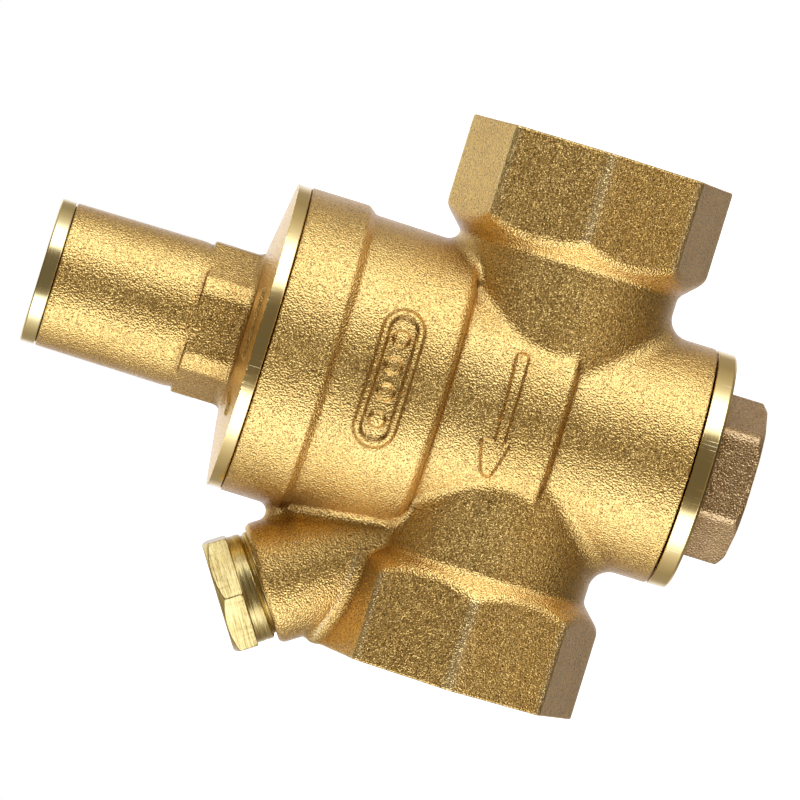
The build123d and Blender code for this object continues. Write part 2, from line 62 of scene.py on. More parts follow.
# ---------------------------------------------------------------- sizes in millimetres
OCTAGON_FLATS = 32.0
PORT_END = 35.0
PORT_BORE_R = 12.06
PORT_THREAD_DEEP = 1.1
PORT_PITCH = 1.814
BOSS_TILT = math.radians(34.0)
BOSS_FACE = (-30.0, 25.5)
TAPER = 1 / 32
GAUGE_PITCH = 1.34
GAUGE_BORE_R = 6.9
BONNET_HEX_FLATS = 18.4
BONNET_HEX_TURN = math.radians(-4.0)
PLUG_HEX_FLATS = 19.0
PLUG_HEX_TURN = math.radians(5.0)
SPRING_FOOT = 18.0
SPRING_TOP = 48.0
SPRING_WIRE_R = 1.1
SPRING_COIL_R = 6.1
SPRING_TURNS = 8.6
FINE_PITCH = 1.5  # threads of the bonnet, the cap, the bottom plug and the adjusting screw
FINE_THREAD_DEEP = 0.75
CAP_THREAD_DEEP = 0.5
STEM_PITCH = 0.8
STEM_THREAD_DEEP = 0.3
STEM_HOLE_R = 2.55
FLANK = 0.8  # keeps a distance that is measured across thread flanks from being too steep
MARK_RELIEF = 0.5
MARK_SLOPE = 0.6
TABLET_Z = 18.5
PIP_PITCH = 3.5
CONE_PAD_RELIEF = 0.33
CONE_PAD_SLOPE = 0.4
PORT_CORNER_R = 17.2  # distance of the octagons' corners from the port axis


# ---------------------------------------------------------------- outlines and distances
def rounded(corners, steps=8):
    """Closed outline from (u, v) or (u, v, radius) corners, with an arc where a radius is given."""
    points = [np.array(c[:2], float) for c in corners]
    out = []
    for i, corner in enumerate(corners):
        here = points[i]
        radius = corner[2] if len(corner) > 2 else 0
        if not radius:
            out.append(here)
            continue
        back = points[i - 1] - here
        ahead = points[(i + 1) % len(points)] - here
        back /= np.linalg.norm(back)
        ahead /= np.linalg.norm(ahead)
        half = math.acos(float(np.clip(back @ ahead, -1, 1))) / 2
        middle = (back + ahead) / np.linalg.norm(back + ahead)
        centre = here + middle * radius / math.sin(half)
        first = here + back * radius / math.tan(half) - centre
        last = here + ahead * radius / math.tan(half) - centre
        sweep = math.pi - 2 * half
        for k in range(steps + 1):
            t = k / steps
            arm = math.sin((1 - t) * sweep) * first + math.sin(t * sweep) * last
            out.append(centre + arm / math.sin(sweep))
    return np.array(out)


def outline_distance(points, u, v):
    """Signed distance from (u, v) to a closed outline, negative inside."""
    best = np.full(np.broadcast(u, v).shape, 1e9)
    inside = np.zeros(best.shape, bool)
    for a, b in zip(points, np.roll(points, -1, axis=0)):
        edge = b - a
        length = edge @ edge
        if length < 1e-12:
            continue
        t = np.clip(((u - a[0]) * edge[0] + (v - a[1]) * edge[1]) / length, 0, 1)
        best = np.minimum(best, (u - a[0] - t * edge[0]) ** 2 + (v - a[1] - t * edge[1]) ** 2)
        if a[1] != b[1]:
            crossing = (a[1] > v) != (b[1] > v)
            inside ^= crossing & (u < a[0] + (v - a[1]) * edge[0] / edge[1])
    return np.where(inside, -1, 1) * np.sqrt(best)


class Outline:
    """Signed distance to an outline, tabulated once and read back by interpolation."""

    def __init__(self, corners, step=0.08, margin=2.5):
        points = rounded(corners)
        self.step = step
        self.low = points.min(0) - margin
        self.count = np.ceil((points.max(0) + margin - self.low) / step).astype(int) + 1
        u = self.low[0] + step * np.arange(self.count[0])
        v = self.low[1] + step * np.arange(self.count[1])
        self.table = outline_distance(points, u[:, None], v[None, :]).astype(np.float32)

    def cells(self, value, axis):
        """Table cell of a coordinate, and how far into the cell it lies."""
        scaled = np.clip((value - self.low[axis]) / self.step, 0, self.count[axis] - 1.001)
        whole = scaled.astype(np.int32)
        return whole, (scaled - whole).astype(np.float32)

    def __call__(self, u, v):
        i, a = self.cells(u, 0)
        j, b = self.cells(v, 1)
        near = self.table[i, j] * (1 - a) + self.table[i + 1, j] * a
        far = self.table[i, j + 1] * (1 - a) + self.table[i + 1, j + 1] * a
        return near * (1 - b) + far * b


def join(a, b, radius):
    """Union with a concave fillet."""
    near = np.maximum(radius, np.minimum(a, b))
    return near - np.hypot(np.maximum(radius - a, 0), np.maximum(radius - b, 0))


def fillet(a, b, radius, lean):
    """Union with a true circular fillet, where lean is the cosine between the two surfaces' normals."""
    lean = np.clip(lean, -0.94, 0.97)
    u, v = radius - a, radius - b
    alpha = np.maximum(u - lean * v, 0) / (1 - lean * lean)
    beta = np.maximum(v - lean * u, 0) / (1 - lean * lean)
    arc = radius - np.sqrt(alpha * alpha + beta * beta + 2 * alpha * beta * lean)
    return np.where((alpha > 0) & (beta > 0), arc, np.minimum(a, b))


def common(a, b, radius):
    """Intersection with a rounded edge."""
    deep = np.minimum(-radius, np.maximum(a, b))
    return deep + np.hypot(np.maximum(radius + a, 0), np.maximum(radius + b, 0))


def cut(a, b, radius):
    """a without b, with a rounded edge."""
    return common(a, -b, radius)


def prism(sides, flats, u, v, turn=0.0, radius=0.2):
    """Regular prism with an even number of sides, its first face's normal at angle turn from u."""
    distance = None
    for k in range(sides // 2):
        angle = turn + 2 * math.pi * k / sides
        face = np.abs(u * math.cos(angle) + v * math.sin(angle)) - flats / 2
        distance = face if distance is None else common(distance, face, radius)
    return distance


def block(x, y, z, centre, half):
    """Box by its centre and half sizes."""
    return np.maximum(
        np.maximum(np.abs(x - centre[0]) - half[0], np.abs(y - centre[1]) - half[1]),
        np.abs(z - centre[2]) - half[2],
    )


def thread(along, around, pitch):
    """Height of a right-hand thread, from 0 in its root to 1 on its crest."""
    phase = (along / pitch - around / (2 * math.pi)) % 1
    ramp = np.clip((np.abs(2 * phase - 1) - 0.1) / 0.8, 0, 1)
    return 0.5 - 0.5 * np.cos(math.pi * ramp)


def ease(t):
    """Smooth step from 0 to 1."""
    t = np.clip(t, 0, 1)
    return t * t * (3 - 2 * t)


# ---------------------------------------------------------------- meshing
def gradient(field, points, h=0.02):
    """Unit gradient of a distance function at points."""
    out = np.empty_like(points)
    for axis in range(3):
        step = np.zeros(3)
        step[axis] = h
        high, low = points + step, points - step
        out[:, axis] = field(*high.T) - field(*low.T)
    size = np.linalg.norm(out, axis=1, keepdims=True)
    return out / np.maximum(size, 1e-12), size[:, 0] / (2 * h)


def settle(field, points, reach, rounds=4):
    """Moves points onto the surface, at most reach away from where they are."""
    start = points
    for _ in range(rounds):
        way, slope = gradient(field, points)
        move = field(*points.T) / np.maximum(slope, 0.3)
        points = points - way * np.clip(move, -reach, reach)[:, None]
    drift = np.linalg.norm(points - start, axis=1) > 2.5 * reach
    points[drift] = start[drift]
    return points


def polygonise(field, low, high, cell):
    """Points and faces of a distance function's surface inside a box."""
    counts = [int(math.ceil((high[i] - low[i]) / cell)) + 1 for i in range(3)]
    x, y, z = [low[i] + cell * np.arange(counts[i], dtype=np.float32) for i in range(3)]
    volume = np.empty(counts, np.float32)
    slab = max(1, int(2.0e6 / (counts[1] * counts[2])))
    for i in range(0, counts[0], slab):
        volume[i:i + slab] = field(x[i:i + slab, None, None], y[None, :, None], z[None, None, :])
    band = 3 * cell
    grid = openvdb.FloatGrid(band)
    grid.copyFromArray(np.clip(volume, -band, band))
    points, triangles, quads = grid.convertToPolygons(0.0, 0.0)
    points = np.asarray(points, float) * cell + np.array(low)
    return points, np.asarray(triangles, int).reshape(-1, 3), np.asarray(quads, int).reshape(-1, 4)


def new_mesh(name, points, triangles, quads):
    """Mesh object from arrays of points, triangles and quads."""
    mesh = bpy.data.meshes.new(name)
    mesh.vertices.add(len(points))
    mesh.vertices.foreach_set("co", np.asarray(points, np.float32).ravel())
    corners = np.concatenate([triangles.ravel(), quads.ravel()]).astype(np.int32)
    mesh.loops.add(len(corners))
    mesh.loops.foreach_set("vertex_index", corners)
    sizes = np.concatenate([np.full(len(triangles), 3), np.full(len(quads), 4)])
    starts = np.concatenate([[0], np.cumsum(sizes)[:-1]]).astype(np.int32)
    mesh.polygons.add(len(sizes))
    mesh.polygons.foreach_set("loop_start", starts)
    mesh.update(calc_edges=True)
    mesh.validate()
    obj = bpy.data.objects.new(name, mesh)
    bpy.context.scene.collection.objects.link(obj)
    return obj


def coordinates(mesh):
    """Positions of a mesh's points, as an array."""
    flat = np.empty(3 * len(mesh.vertices), np.float32)
    mesh.vertices.foreach_get("co", flat)
    return flat.reshape(-1, 3).astype(float)


def reduce_mesh(obj, faces):
    """Collapses edges until the mesh has about this many triangles."""
    count = sum(p.loop_total - 2 for p in obj.data.polygons)
    if count <= faces:
        return
    modifier = obj.modifiers.new("reduce", "DECIMATE")
    modifier.ratio = faces / count
    bpy.context.view_layer.update()
    reduced = bpy.data.meshes.new_from_object(obj.evaluated_get(bpy.context.evaluated_depsgraph_get()))
    obj.modifiers.remove(modifier)
    obj.data = reduced


def shade_from_field(obj, field, cell):
    """Corner normals from the distance function, falling back to the face normal across sharp edges."""
    mesh = obj.data
    points = coordinates(mesh)
    smooth, _ = gradient(field, points, h=0.06)
    count = len(mesh.loops)
    vertex = np.empty(count, np.int32)
    mesh.loops.foreach_get("vertex_index", vertex)
    sizes = np.empty(len(mesh.polygons), np.int32)
    mesh.polygons.foreach_get("loop_total", sizes)
    face = np.repeat(np.arange(len(sizes)), sizes)
    flat = np.empty(3 * len(sizes), np.float32)
    mesh.polygons.foreach_get("normal", flat)
    flat = flat.reshape(-1, 3)
    area = np.empty(len(sizes), np.float32)
    mesh.polygons.foreach_get("area", area)
    allowed = np.clip(50 * cell / np.sqrt(np.maximum(area, 1e-9)), 9, 55)[face]
    turn = np.degrees(np.arccos(np.clip((smooth[vertex] * flat[face]).sum(1), -1, 1)))
    normals = np.where((turn < allowed)[:, None], smooth[vertex], flat[face])
    mesh.polygons.foreach_set("use_smooth", np.ones(len(sizes), bool))
    mesh.normals_split_custom_set(normals.tolist())


def solid(name, field, low, high, cell, faces, place=None):
    """Object from a distance function, in the row frame in metres."""
    points, triangles, quads = polygonise(field, low, high, cell)
    points = settle(field, points, cell)
    middles = points[quads].mean(1)
    outward, _ = gradient(field, middles[:2000])
    corner = points[quads[:2000]]
    facing = np.cross(corner[:, 2] - corner[:, 0], corner[:, 3] - corner[:, 1])
    if (facing * outward).sum() < 0:
        quads, triangles = quads[:, ::-1], triangles[:, ::-1]
    obj = new_mesh(name, points, triangles, quads)
    reduce_mesh(obj, faces)
    settled = settle(field, coordinates(obj.data), cell * 0.5, 2)
    obj.data.vertices.foreach_set("co", settled.astype(np.float32).ravel())
    obj.data.update()
    shade_from_field(obj, field, cell)
    obj.data.transform(TO_ROW @ place if place is not None else TO_ROW)
    return obj


def turned(name, corners, segments=128, place=None):
    """Closed solid of revolution about Z from (radius, height) corners, foot first and then up the outside."""
    outline = rounded(corners, 6)
    closed_at_axis = bool((outline[:, 0] < 1e-6).any())
    if closed_at_axis:
        start = int(np.argmax(outline[:, 0] < 1e-6))
        outline = np.roll(outline, -start, axis=0)
    angles = np.linspace(0, 2 * math.pi, segments, endpoint=False)
    points, rings = [], []
    for radius, height in outline:
        if radius < 1e-6:
            rings.append([len(points)] * segments)
            points.append((0, 0, height))
        else:
            rings.append(list(range(len(points), len(points) + segments)))
            points.extend((radius * math.cos(a), radius * math.sin(a), height) for a in angles)
    faces = []
    for i in range(len(rings)):
        low, high = rings[i], rings[(i + 1) % len(rings)]
        if low[0] == low[1] and high[0] == high[1]:
            continue
        for k in range(segments):
            n = (k + 1) % segments
            corner = [low[k], low[n], high[n], high[k]]
            faces.append([c for j, c in enumerate(corner) if c != corner[j - 1]])
    mesh = bpy.data.meshes.new(name)
    mesh.from_pydata(points, [], faces)
    mesh.validate()
    mesh.polygons.foreach_set("use_smooth", np.ones(len(mesh.polygons), bool))
    mesh.set_sharp_from_angle(angle=math.radians(25))
    obj = bpy.data.objects.new(name, mesh)
    bpy.context.scene.collection.objects.link(obj)
    mesh.transform(TO_ROW @ place if place is not None else TO_ROW)
    return obj


def dress(obj, body, material, slot, *nodes):
    """Gives a piece its body and material, and hides the CAD nodes it stands for."""
    obj.data.materials.clear()
    obj.data.materials.append(material)
    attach(obj, body)
    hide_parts(*nodes)
    return obj


# ---------------------------------------------------------------- body casting
BODY_OUTLINE = Outline([
    (-1, -21.0),
    (15.4, -21.0),
    (15.5, -20.9),
    (15.5, -4.4, 0.7),
    (17.0, -3.7, 0.9),
    (17.0, 11.0, 0.7),
    (18.9, 11.0, 1.4),
    (19.1, 25.3, 0.9),
    (20.0, 26.4, 0.7),
    (20.0, 33.86),
    (19.88, 34.0),
    (-1, 34.0),
])
PORT_OUTLINE = Outline([(-1, -1), (-1, 14.4), (20.3, 14.4, 1.5), (29.0, 23.1), (40.0, 23.1), (40.0, -1)])
BOSS_OUTLINE = Outline([(-1, -18.0), (7.9, -18.0), (7.9, 0.0, 1.0), (-1, 0.0)])
CAVITY = Outline([
    (-1, -22.0),
    (14.0, -22.0),
    (14.0, -19.2),
    (13.55, -19.2),
    (13.55, -12.0),
    (12.0, -12.0),
    (12.0, -2.0, 1.0),
    (8.2, -2.0),
    (8.2, -2.8),
    (7.0, -2.8),
    (7.0, 2.0),
    (12.0, 2.0, 1.0),
    (12.0, 10.8),
    (15.5, 10.8),
    (15.5, 27.0),
    (17.55, 27.0),
    (17.55, 32.1),
    (18.1, 32.1),
    (18.1, 35.0),
    (-1, 35.0),
])
PORT_CAVITY = Outline([
    (14.0, -1),
    (14.0, 10.0, 1.5),
    (21.0, 10.0),
    (21.0, 12.4),
    (21.6, 13.1),
    (22.6, 13.1),
    (23.2, PORT_BORE_R),
    (33.7, PORT_BORE_R),
    (37.0, 15.36),
    (37.0, -1),
])
ARROW = Outline([
    (-8.3, 2.8, 0.5),
    (-7.8, 4.1, 0.5),
    (-3.7, 5.3, 0.4),
    (-3.6, 3.6, 0.2),
    (7.9, 4.0, 0.6),
    (7.9, 2.4, 0.6),
    (-3.6, 2.4, 0.2),
    (-3.7, 1.6, 0.4),
])


def tablet_distance(x, z):
    """Rounded frame with four round pips in it."""
    across = np.maximum(np.abs(x) - 6.2, 0)
    frame_line = np.abs(np.hypot(across, z - TABLET_Z) - 2.2) - 0.45
    pips = np.hypot(((x + 2 * PIP_PITCH) % PIP_PITCH) - PIP_PITCH / 2, z - TABLET_Z) - 1.0
    pips = np.maximum(pips, np.abs(x) - 2 * PIP_PITCH)
    return np.minimum(frame_line, pips)


def boss_place(x, y, z):
    """Distance from the boss axis and height above the boss face."""
    dx, dz = x - BOSS_FACE[0], z - BOSS_FACE[1]
    out = dx * math.cos(BOSS_TILT) + dz * math.sin(BOSS_TILT)
    up = dz * math.cos(BOSS_TILT) - dx * math.sin(BOSS_TILT)
    return out, y, up


def casting_distance(x, y, z):
    """Outside of the body."""
    r = np.hypot(x, y)
    q = np.hypot(y, z)
    far = np.abs(x)
    port = common(prism(8, OCTAGON_FLATS, y, z, math.pi / 8, 0.3), PORT_OUTLINE(far, q), 0.6)
    port = common(port, far - PORT_END, 0.3)
    barrel = BODY_OUTLINE(r, z)
    shape = fillet(barrel, port, 2.2 - 0.03 * z, y * y / np.maximum(r * q, 1e-3))
    out, side, up = boss_place(x, y, z)
    t = np.maximum(np.hypot(out, side), 1e-3)
    along_x, along_z = out * math.cos(BOSS_TILT), out * math.sin(BOSS_TILT)
    share = np.clip(0.5 + (port - barrel) / 4, 0, 1)
    lean_barrel = (along_x * x + side * y) / (t * np.maximum(r, 1e-3))
    lean_port = (along_z * z + side * y) / (t * np.maximum(q, 1e-3))
    shape = fillet(shape, BOSS_OUTLINE(t, up), 1.25, lean_port + share * (lean_barrel - lean_port))
    arrow = ease(0.5 - ARROW(x, z) / MARK_SLOPE)
    tablet = ease(0.5 - tablet_distance(x, z) / MARK_SLOPE)
    front_and_back = np.abs(y) > 9
    return shape - MARK_RELIEF * np.maximum(arrow, tablet) * front_and_back


def port_hollow(x, y, z):
    """Tapped port bores with their pockets."""
    q = np.hypot(y, z)
    far = np.abs(x)
    crest = PORT_BORE_R + PORT_THREAD_DEEP * (1 - thread(x, np.arctan2(z, y), PORT_PITCH))
    tapped = np.maximum((q - crest) * 0.6, np.abs(far - 28.6) - 6.6)
    return np.minimum(PORT_CAVITY(far, q), tapped)


def gauge_hollow(x, y, z):
    """Tapered tapped hole in the boss and the sensing hole below it."""
    out, side, up = boss_place(x, y, z)
    t = np.hypot(out, side)
    wall = GAUGE_BORE_R + up * TAPER
    groove = 0.35 * thread(up, np.arctan2(side, out), GAUGE_PITCH) * (up > -7.6)
    tapped = np.maximum((t - wall - groove) * FLANK, np.abs(up + 3.5) - 5.0)
    mouth = np.maximum((t - 7.35 - up) * 0.7, up - 2)
    tapped = np.minimum(tapped, np.maximum(mouth, -up - 1.0))
    return np.minimum(tapped, np.maximum(t - 1.5, np.abs(up + 14.0) - 7.0))


def body_distance(x, y, z):
    """Casting with its bores, its two flow passages and its tapped ports."""
    hollow = CAVITY(np.hypot(x, y), z)
    hollow = np.minimum(hollow, port_hollow(x, y, z))
    hollow = np.minimum(hollow, block(x, y, z, (11.25, 0, -7.0), (5.25, 8.0, 4.0)))
    hollow = np.minimum(hollow, block(x, y, z, (-11.25, 0, 6.0), (5.25, 8.0, 4.0)))
    hollow = np.minimum(hollow, gauge_hollow(x, y, z))
    return cut(casting_distance(x, y, z), hollow, 0.12)


# ---------------------------------------------------------------- bonnet, cap and plugs
BONNET_OUTLINE = Outline([
    (-1, 28.0),
    (16.9, 28.0),
    (17.5, 28.6),
    (17.5, 31.6),
    (16.4, 32.1),
    (16.4, 34.12),
    (19.83, 34.12),
    (19.93, 34.22),
    (19.95, 35.85),
    (10.2, 37.22, 0.5),
    (8.8, 38.2),
    (8.8, 43.0),
    (-1, 43.0),
])
TUBE_OUTLINE = Outline([(-1, 42.0), (9.06, 42.0), (9.49, 44.8, 4.0), (9.36, 61.7), (9.26, 61.8), (-1, 61.8)])
BONNET_HOLLOW = Outline([
    (-1, 27.0),
    (13.5, 27.0),
    (13.5, 33.0),
    (7.8, 35.0),
    (7.8, 61.5),
    (8.4, 62.1),
    (8.4, 63.0),
    (-1, 63.0),
])
CAP_OUTLINE = Outline([
    (-1, 59.02),
    (7.2, 59.02),
    (7.75, 59.57),
    (7.75, 61.5),
    (7.3, 61.6),
    (7.3, 62.02),
    (8.95, 62.02),
    (9.0, 61.92),
    (9.3, 61.92),
    (9.38, 62.0),
    (9.38, 63.64),
    (9.2, 63.82),
    (-1, 63.82),
], 0.05)
PLUG_OUTLINE = Outline([
    (-1, -23.75),
    (15.15, -23.75),
    (15.5, -23.4),
    (15.5, -21.28),
    (15.42, -21.2),
    (12.4, -21.2),
    (12.4, -19.2),
    (13.5, -18.9),
    (13.5, -13.6),
    (12.9, -13.0),
    (-1, -13.0),
])
PLUG_HOLLOW = Outline([(-1, -26.2), (6.05, -26.2), (6.05, -13.5), (6.55, -13.0), (6.55, -12.0), (-1, -12.0)])
PLUG_ENDS = Outline([(-1, -29.6), (9.75, -29.6, 0.3), (10.75, -28.9, 0.35), (10.75, -22.0), (-1, -22.0)])
GAUGE_SHANK = Outline([(-1, -7.45), (6.1, -7.45), (6.72, -6.9), (6.99, 1.6), (6.99, 2.7), (-1, 2.7)], 0.05)
GAUGE_ENDS = Outline([(-1, 2.55), (7.95, 2.55), (8.2, 2.75), (8.2, 4.9), (6.85, 5.72), (-1, 5.72)], 0.05)


def cone_pads(x, y, z):
    """Low raised pads on the bonnet's cone, in the same places front and back."""
    r = np.hypot(x, y)
    turn = np.degrees(np.arctan2(y, x)) % 180
    long_pad = np.abs(turn - 96.0) - 17.0
    short_pad = np.abs(turn - 53.0) - 4.0
    sideways = np.minimum(long_pad, short_pad) * math.pi / 180 * r
    flat = common(sideways, np.abs(r - 14.5) - 1.7, 0.4)
    return ease(0.5 - flat / CONE_PAD_SLOPE) * (z > 35.0)


def bonnet_distance(x, y, z):
    """Screwed skirt, bright rim, cone, hexagon and tube, with the cap's thread inside the tube."""
    r = np.hypot(x, y)
    turn = np.arctan2(y, x)
    open_thread = 1 - thread(z, turn, FINE_PITCH)
    skirt_groove = FINE_THREAD_DEEP * open_thread * ease((z - 28.4) / 0.3) * ease((31.6 - z) / 0.3)
    shape = BONNET_OUTLINE(r, z) + skirt_groove * (r > 16) * (z < 31.8) * FLANK
    shape = shape - CONE_PAD_RELIEF * cone_pads(x, y, z)
    grip = prism(6, BONNET_HEX_FLATS, x, y, BONNET_HEX_TURN + math.pi / 2, 0.2)
    grip = common(grip, r - 9.95, 0.15)
    grip = common(grip, np.abs(z - 40.2) - 3.5, 0.25)
    shape = join(shape, grip, 0.6)
    shape = join(shape, TUBE_OUTLINE(r, z), 0.25)
    groove = CAP_THREAD_DEEP * open_thread * (z > 47) * (z < 61.6)
    tapped = np.maximum((r - 7.8 - groove) * FLANK, np.abs(z - 54.0) - 7.6)
    return cut(shape, np.minimum(BONNET_HOLLOW(r, z), tapped), 0.1)


def cap_distance(x, y, z):
    """Cap with its threaded shank below and a screwdriver slot across its top."""
    r = np.hypot(x, y)
    open_thread = 1 - thread(z, np.arctan2(y, x), FINE_PITCH)
    groove = CAP_THREAD_DEEP * open_thread * ease((z - 59.1) / 0.3) * ease((61.6 - z) / 0.2)
    shape = CAP_OUTLINE(r, z) + groove * FLANK * (r > 6.5)
    return cut(shape, block(x, y, z, (0, 0, 63.92), (5.5, 1.0, 1.0)), 0.08)


def bottom_plug_distance(x, y, z):
    """Hollow plug: hexagon, bright flange, groove for its seal, and thread."""
    r = np.hypot(x, y)
    open_thread = 1 - thread(z, np.arctan2(y, x), FINE_PITCH)
    groove = FINE_THREAD_DEEP * open_thread * ease((z + 18.9) / 0.3) * ease((-13.5 - z) / 0.3)
    shape = PLUG_OUTLINE(r, z) + groove * FLANK * (r > 11)
    grip = common(prism(6, PLUG_HEX_FLATS, x, y, PLUG_HEX_TURN + math.pi / 2, 0.35), PLUG_ENDS(r, z), 0.3)
    shape = join(shape, grip, 0.3)
    return cut(shape, PLUG_HOLLOW(r, z), 0.08)


def gauge_plug_distance(u, v, s):
    """Taper plug with a hexagon head, s being the height above the boss face."""
    t = np.hypot(u, v)
    groove = (1 - thread(s, np.arctan2(v, u), GAUGE_PITCH)) ** 3 * ease((s + 7.3) / 0.4)
    groove = groove * (0.03 + 0.6 * ease((1.5 - s) / 1.8)) * ease((2.6 - s) / 0.3)
    shank = GAUGE_SHANK(t, s) + groove * (t > 5)
    head = common(prism(6, 14.2, u, v, 0.0, 0.06), GAUGE_ENDS(t, s), 0.06)
    return join(shank, head, 0.15)


def screw_distance(x, y, z):
    """Adjusting screw with a hexagon socket."""
    r = np.hypot(x, y)
    groove = FINE_THREAD_DEEP * (1 - thread(z, np.arctan2(y, x), FINE_PITCH))
    half = np.abs(z - 53.25)
    shape = common((r - 7.75 + groove) * FLANK, half - 2.75, 0.05)
    shape = common(shape, (r - 10.5 + half) * 0.7, 0.05)
    socket = np.maximum(prism(6, 6.0, x, y, 0.0, 0.05), 52.5 - z)
    return cut(shape, socket, 0.1)


def nut_distance(x, y, z):
    """M5 nut 3 mm thick, standing on height 0."""
    r = np.hypot(x, y)
    ends = common(np.abs(z - 1.5) - 1.5, (r - 5.3 + np.abs(z - 1.5) * 0.6) * 0.85, 0.05)
    shape = common(prism(6, 8.0, x, y, 0.0, 0.08), ends, 0.05)
    groove = STEM_THREAD_DEEP * (1 - thread(z, np.arctan2(y, x), STEM_PITCH))
    hole = np.minimum((r - STEM_HOLE_R - groove) * FLANK, (r - 1.5 - np.abs(z - 1.5)) * 0.7)
    return cut(shape, hole, 0.04)


STEM_OUTLINE = Outline([
    (-1, -25.2),
    (2.1, -25.2),
    (2.5, -24.8),
    (2.5, -5.8),
    (5.0, -5.8),
    (5.0, -4.4, 0.4),
    (3.0, -4.4, 0.3),
    (3.0, 9.4, 0.2),
    (4.0, 9.4),
    (4.0, 11.4),
    (2.5, 11.4),
    (2.5, 22.2),
    (2.1, 22.6),
    (-1, 22.6),
], 0.04)


def stem_distance(x, y, z):
    """Stem with its shoulder, collar and two threaded ends."""
    r = np.hypot(x, y)
    threaded = ease((z - 18.0) / 0.3) + ease((-20.9 - z) / 0.3)
    groove = STEM_THREAD_DEEP * (1 - thread(z, np.arctan2(y, x), STEM_PITCH)) * threaded
    return STEM_OUTLINE(r, z) + groove * FLANK


# ---------------------------------------------------------------- materials
class Nodes:
    """Small helper that builds the node tree of a material or of the world."""

    def __init__(self, owner, output="Object"):
        owner.use_nodes = True
        self.owner = owner
        self.tree = owner.node_tree
        self.tree.nodes.clear()
        self.place = self.add("ShaderNodeTexCoord").outputs[output]

    def add(self, kind, inputs=None, **settings):
        node = self.tree.nodes.new(kind)
        for key, value in settings.items():
            setattr(node, key, value)
        for key, value in (inputs or {}).items():
            if isinstance(value, bpy.types.NodeSocket):
                self.tree.links.new(value, node.inputs[key])
            else:
                node.inputs[key].default_value = value
        return node

    def math(self, operation, *values, clamp=False):
        inputs = dict(enumerate(values))
        return self.add("ShaderNodeMath", inputs, operation=operation, use_clamp=clamp).outputs[0]

    def noise(self, scale, detail=2.0, roughness=0.5, place=None):
        inputs = {"Vector": place or self.place, "Scale": scale, "Detail": detail, "Roughness": roughness}
        return self.add("ShaderNodeTexNoise", inputs).outputs["Fac"]

    def ramp(self, value, *stops):
        node = self.add("ShaderNodeValToRGB", {"Fac": value})
        elements = node.color_ramp.elements
        while len(elements) < len(stops):
            elements.new(0.5)
        for element, (position, colour) in zip(elements, stops):
            element.position = position
            element.color = (*colour, 1) if len(colour) == 3 else colour
        return node.outputs["Color"]

    def between(self, value, low, high, a=0.0, b=1.0):
        """a where value is low, b where it is high, and in proportion between them."""
        inputs = {"Value": value, "From Min": low, "From Max": high, "To Min": a, "To Max": b}
        return self.add("ShaderNodeMapRange", inputs).outputs["Result"]

    def mix(self, share, a, b):
        """Colour between a and b."""
        node = self.add("ShaderNodeMix", data_type="RGBA")
        for key, value in ((0, share), (6, a), (7, b)):
            if isinstance(value, bpy.types.NodeSocket):
                self.tree.links.new(value, node.inputs[key])
            else:
                node.inputs[key].default_value = value if key == 0 or len(value) == 4 else (*value, 1)
        return node.outputs[2]

    def blend(self, share, a, b):
        """Number between a and b."""
        return self.math("ADD", a, self.math("MULTIPLY", share, self.math("SUBTRACT", b, a)))

    def bump(self, height, distance, strength=1.0, normal=None):
        inputs = {"Height": height, "Distance": distance, "Strength": strength}
        if normal is not None:
            inputs["Normal"] = normal
        return self.add("ShaderNodeBump", inputs).outputs["Normal"]

    def stretched(self, x, y, z):
        """Object coordinates scaled by axis."""
        return self.add("ShaderNodeMapping", {"Vector": self.place, "Scale": (x, y, z)}).outputs["Vector"]

    def spread(self, axis="Z"):
        """Distance from an axis through the port level, and position along it, in millimetres."""
        split = self.add("ShaderNodeSeparateXYZ", {"Vector": self.place})
        x = self.math("MULTIPLY", split.outputs["X"], 1000.0)
        y = self.math("MULTIPLY", split.outputs["Y"], 1000.0)
        z = self.math("SUBTRACT", self.math("MULTIPLY", split.outputs["Z"], 1000.0), PORT_Z)
        across, along = ((x, y), z) if axis == "Z" else ((y, z), x)
        squares = self.math("ADD", self.math("POWER", across[0], 2.0), self.math("POWER", across[1], 2.0))
        return self.math("SQRT", squares), along

    def finish(self, colour, metal, roughness, normal=None, **extra):
        inputs = {"Base Color": colour, "Metallic": metal, "Roughness": roughness}
        if normal is not None:
            inputs["Normal"] = normal
        inputs.update(extra)
        surface = self.add("ShaderNodeBsdfPrincipled", inputs)
        self.add("ShaderNodeOutputMaterial", {"Surface": surface.outputs["BSDF"]})
        return self.owner


def new_material(name):
    """Node builder of a new material."""
    return Nodes(bpy.data.materials.new(name))


STRAW = (0.95, 0.61, 0.17)
OLIVE = (0.88, 0.54, 0.135)
# dark colour of the grain's pits, also used as the painted shade laid into narrow gaps and inner corners
PIT_AND_SHADE = (0.30, 0.16, 0.035)
WORN = (0.98, 0.80, 0.42)
MACHINED = (0.92, 0.70, 0.29)
SCORED = (0.97, 0.88, 0.62)
CREVICE_SHADE_REACH = 0.0010  # metres over which ambient occlusion paints shade into the brass in a narrow gap
CORNER_SHADE_REACH = 0.0070  # metres over which ambient occlusion paints shade into the brass in a wide inner corner


def zone(n, value, low, high, soft=0.03):
    """1 where value lies between low and high."""
    rise = n.between(value, low - soft, low + soft)
    fall = n.between(value, high - soft, high + soft, 1.0, 0.0)
    return n.math("MULTIPLY", rise, fall, clamp=True)


